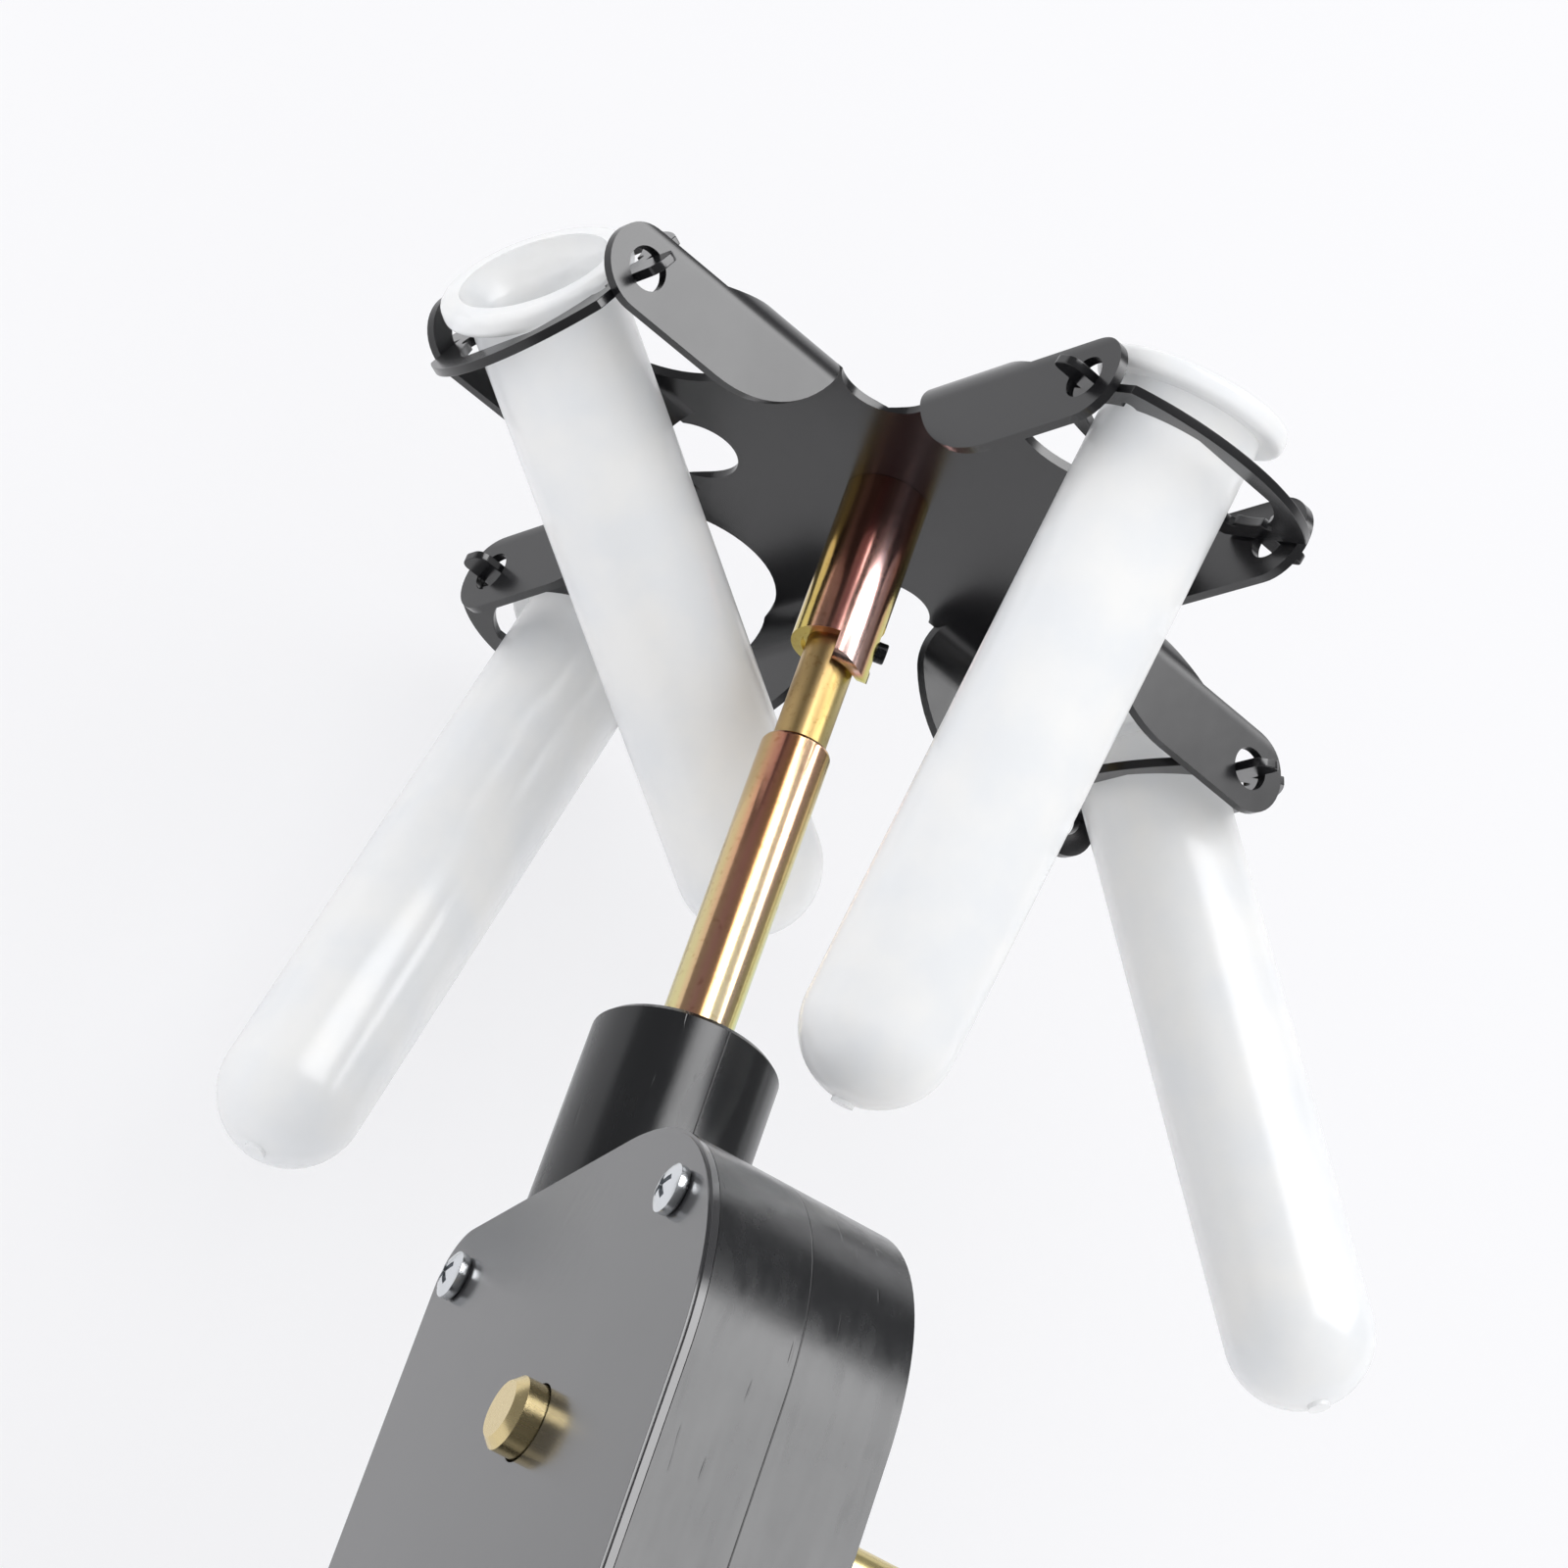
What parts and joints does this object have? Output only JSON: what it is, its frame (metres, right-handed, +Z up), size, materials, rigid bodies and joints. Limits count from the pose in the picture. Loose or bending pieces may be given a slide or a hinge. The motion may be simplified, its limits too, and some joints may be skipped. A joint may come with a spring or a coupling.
{
  "type": "hand-cranked bench centrifuge",
  "caption": "Hand-cranked bench centrifuge: geared case on a table clamp, tall spindle, cross-shaped rotor with swing-out tubes.",
  "frame": {"origin": "on the spindle axis, in the underside of the clamp's upper jaw, which lies on the bench top", "axes": "+Z up along the spindle; -Y through the cover plate to the front; +X towards the crank shaft's side of the case; the crank leaves the back towards +Y"},
  "size_m": [0.1527, 0.2169, 0.3196],
  "materials": {
    "moulded_black": "satin moulded black plastic",
    "cover_black": "semi-gloss black enamel",
    "rotor_black": "semi-gloss black lacquer on pressed steel",
    "zinc_yellow": "yellow passivated zinc with a rainbow film",
    "zinc_white": "bright zinc",
    "steel": "turned steel",
    "oxide_black": "black oxide",
    "bronze": "sintered bronze",
    "milky_tube": "translucent milky polypropylene",
    "clamp_black": "black powder coat"
  },
  "bodies": {
    "gearbox": {"housing": "moulded_black", "cover_plate": "cover_black", "cover_screws": "zinc_white", "rear_bush": "bronze", "lower_bush": "bronze", "spindle_sleeve": "zinc_yellow", "clamp_bracket": "clamp_black", "clamp_bolts": "steel"},
    "crank": {"crank_shaft": "zinc_yellow", "worm_wheel": "bronze", "wheel_pin": "steel", "spacer": "steel", "crank_arm": "rotor_black", "crank_nut": "zinc_white", "grip_pin": "zinc_white"},
    "grip": {"crank_grip": "moulded_black"},
    "spindle": {"spindle_rod": "zinc_yellow", "worm": "steel", "worm_pin": "steel", "drive_pin": "oxide_black", "rotor_socket": "zinc_yellow", "rotor_plate": "rotor_black"},
    "ring_a": {"ring_a": "rotor_black"},
    "tube_a": {"tube_a": "milky_tube"},
    "ring_b": {"ring_b": "rotor_black"},
    "tube_b": {"tube_b": "milky_tube"},
    "ring_c": {"ring_c": "rotor_black"},
    "tube_c": {"tube_c": "milky_tube"},
    "ring_d": {"ring_d": "rotor_black"},
    "tube_d": {"tube_d": "milky_tube"},
    "clamp_screw": {"clamp_screw": "zinc_white", "tommy_bar": "zinc_white"},
    "clamp_pad": {"clamp_pad": "zinc_white"}
  },
  "joints": [
    {"name": "spindle_spin", "type": "hinge", "parent": "gearbox", "child": "spindle", "pos_m": [0, 0, 0.05], "axis": [0, 0, 1], "continuous": true},
    {"name": "crank_turn", "type": "hinge", "parent": "gearbox", "child": "crank", "pos_m": [0.0325, 0, 0.05], "axis": [0, 1, 0], "continuous": true},
    {"name": "grip_spin", "type": "hinge", "parent": "crank", "child": "grip", "pos_m": [0.0325, 0.11, 0.006], "axis": [0, 1, 0], "continuous": true},
    {"name": "ring_a_swing", "type": "hinge", "parent": "spindle", "child": "ring_a", "pos_m": [0.01576, -0.05986, 0.2022], "axis": [-0.967, -0.2546, 0], "range_deg": [-0.5, 155.4]},
    {"name": "tube_a_lift", "type": "slide", "parent": "ring_a", "child": "tube_a", "axis": [0.483, -0.7784, 0.4009], "range_m": [0, 0.01]},
    {"name": "ring_b_swing", "type": "hinge", "parent": "spindle", "child": "ring_b", "pos_m": [0.05986, 0.01576, 0.2022], "axis": [0.2546, -0.967, 0], "range_deg": [-4, 110]},
    {"name": "tube_b_lift", "type": "slide", "parent": "ring_b", "child": "tube_b", "axis": [0.3517, 0.0025, 0.9361], "range_m": [-0.0035, 0.01]},
    {"name": "ring_c_swing", "type": "hinge", "parent": "spindle", "child": "ring_c", "pos_m": [-0.05986, -0.01576, 0.2022], "axis": [-0.2546, 0.967, 0], "range_deg": [-28.8, 89.2]},
    {"name": "tube_c_lift", "type": "slide", "parent": "ring_c", "child": "tube_c", "axis": [-0.0362, 0.1913, 0.9809], "range_m": [0, 0.01]},
    {"name": "ring_d_swing", "type": "hinge", "parent": "spindle", "child": "ring_d", "pos_m": [-0.01576, 0.05986, 0.2022], "axis": [0.967, 0.2546, 0], "range_deg": [-41.6, 66.4]},
    {"name": "tube_d_lift", "type": "slide", "parent": "ring_d", "child": "tube_d", "axis": [-0.2019, -0.4469, 0.8715], "range_m": [0, 0.006]},
    {"name": "clamp_screw_travel", "type": "slide", "parent": "gearbox", "child": "clamp_screw", "axis": [0, 0, 1], "range_m": [-0.012, 0.025]},
    {"name": "clamp_pad_swivel", "type": "hinge", "parent": "clamp_screw", "child": "clamp_pad", "pos_m": [0, -0.01, -0.035], "axis": [0, 0, 1], "continuous": true}
  ],
  "couplings": [
    {"joint": "crank_turn", "follows": "spindle_spin", "ratio": -0.1}
  ]
}
